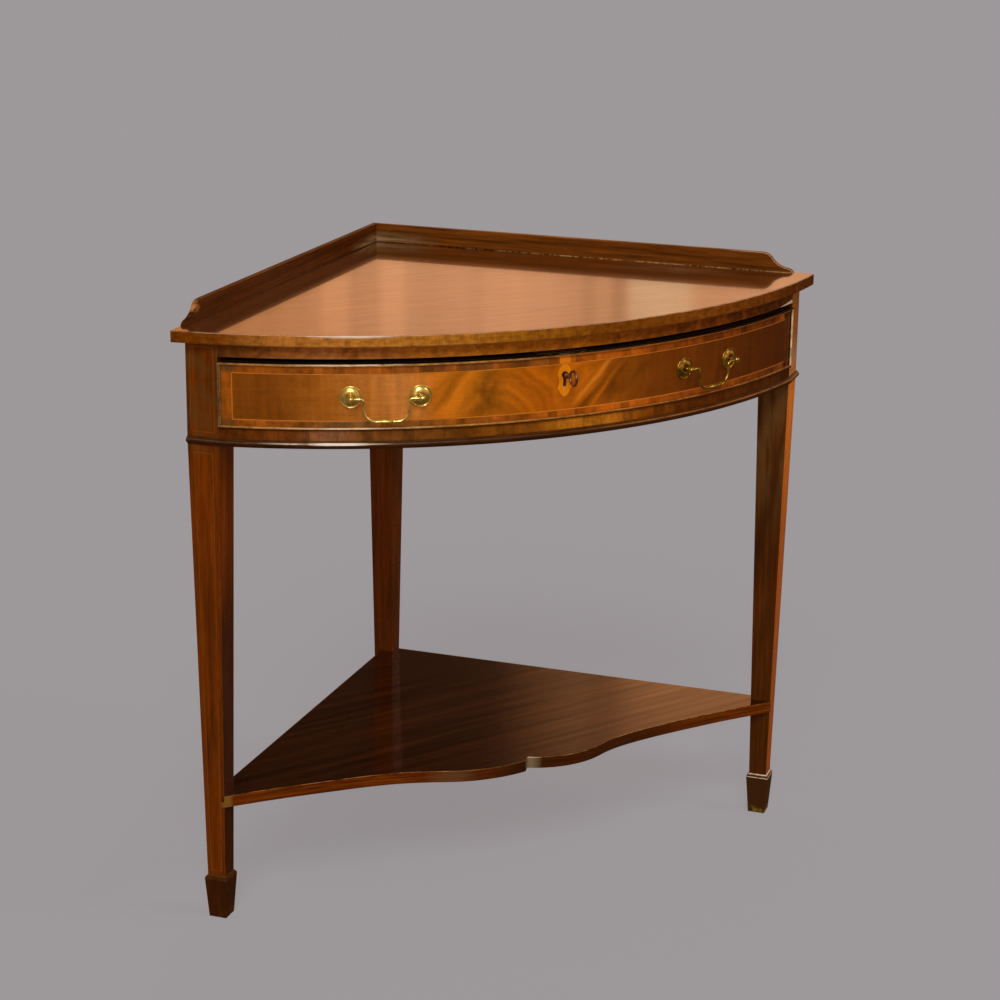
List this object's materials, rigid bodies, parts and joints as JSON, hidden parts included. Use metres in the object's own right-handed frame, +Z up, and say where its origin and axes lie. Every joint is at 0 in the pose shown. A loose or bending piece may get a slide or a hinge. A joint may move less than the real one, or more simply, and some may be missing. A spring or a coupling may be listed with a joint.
{
  "type": "corner table",
  "caption": "Bow-fronted corner side table with a lockable drawer on bail handles, a low gallery, square tapered legs on spade feet and a shaped undershelf.",
  "frame": {"origin": "on the floor, below the middle of the whole table's width and depth", "axes": "+X right, +Y back into the corner of the room, +Z up; the bowed front faces -Y"},
  "size_m": [0.8884, 0.6244, 0.785],
  "materials": {
    "mahogany_top": "french polished",
    "mahogany_solid": "polished",
    "mahogany_flame": "french polished veneer",
    "kingwood_band": "french polished crossbanding",
    "boxwood": "polished inlay",
    "drawer_lining": "bare oak",
    "carcass_pine": "bare pine",
    "brass": "polished, aged",
    "iron": "worn"
  },
  "bodies": {
    "table_frame": {"bottom_rail": "carcass_pine", "bottom_rail_banding": "kingwood_band", "drawer_stops": "carcass_pine", "front_left_leg": "mahogany_solid", "front_right_leg": "mahogany_solid", "gallery_left": "mahogany_solid", "gallery_right": "mahogany_solid", "glue_blocks": "carcass_pine", "kicker_left": "carcass_pine", "kicker_right": "carcass_pine", "leg_stringing": "boxwood", "moulding_front": "mahogany_solid", "moulding_left_return": "mahogany_solid", "moulding_right_return": "mahogany_solid", "rear_leg": "mahogany_solid", "runner_left": "carcass_pine", "runner_right": "carcass_pine", "shelf": "mahogany_solid", "side_rail_left": "mahogany_solid", "side_rail_right": "mahogany_solid", "top_board": "mahogany_top", "top_edge_banding": "kingwood_band", "top_rail": "carcass_pine", "top_rail_banding": "kingwood_band"},
    "drawer": {"cockbead_bottom": "mahogany_solid", "cockbead_ends": "mahogany_solid", "cockbead_top": "mahogany_solid", "drawer_back": "drawer_lining", "drawer_bottom": "drawer_lining", "drawer_crossbanding": "kingwood_band", "drawer_field_veneer": "mahogany_flame", "drawer_front": "carcass_pine", "drawer_shield_inlay": "boxwood", "drawer_side_left": "drawer_lining", "drawer_side_right": "drawer_lining", "drawer_slips": "drawer_lining", "drawer_stringing": "boxwood", "handle_nuts": "brass", "left_handle_posts": "brass", "left_handle_rosettes": "brass", "lock_case": "brass", "lock_screws": "iron", "lock_selvedge": "brass", "right_handle_posts": "brass", "right_handle_rosettes": "brass"},
    "left_bail": {"left_bail": "brass"},
    "right_bail": {"right_bail": "brass"},
    "key": {"key": "iron"},
    "lock_bolt": {"lock_bolt": "brass"}
  },
  "joints": [
    {"name": "drawer_slide", "type": "slide", "parent": "table_frame", "child": "drawer", "axis": [0, -1, 0], "range_m": [0, 0.25]},
    {"name": "left_bail_swing", "type": "hinge", "parent": "drawer", "child": "left_bail", "pos_m": [-0.22213, -0.25577, 0.6841], "axis": [-0.9503, 0.3115, 0], "range_deg": [-14, 95]},
    {"name": "right_bail_swing", "type": "hinge", "parent": "drawer", "child": "right_bail", "pos_m": [0.22213, -0.25577, 0.6841], "axis": [-0.9503, -0.3115, 0], "range_deg": [-14, 95]},
    {"name": "key_turn", "type": "hinge", "parent": "drawer", "child": "key", "pos_m": [0, -0.27999, 0.698], "axis": [0, 1, 0], "range_deg": [0, 180]},
    {"name": "lock_bolt_slide", "type": "slide", "parent": "drawer", "child": "lock_bolt", "axis": [0, 0, 1], "range_m": [0, 0.01001]}
  ],
  "couplings": [
    {"joint": "lock_bolt_slide", "follows": "key_turn", "m_per_rad": 0.0031831}
  ]
}
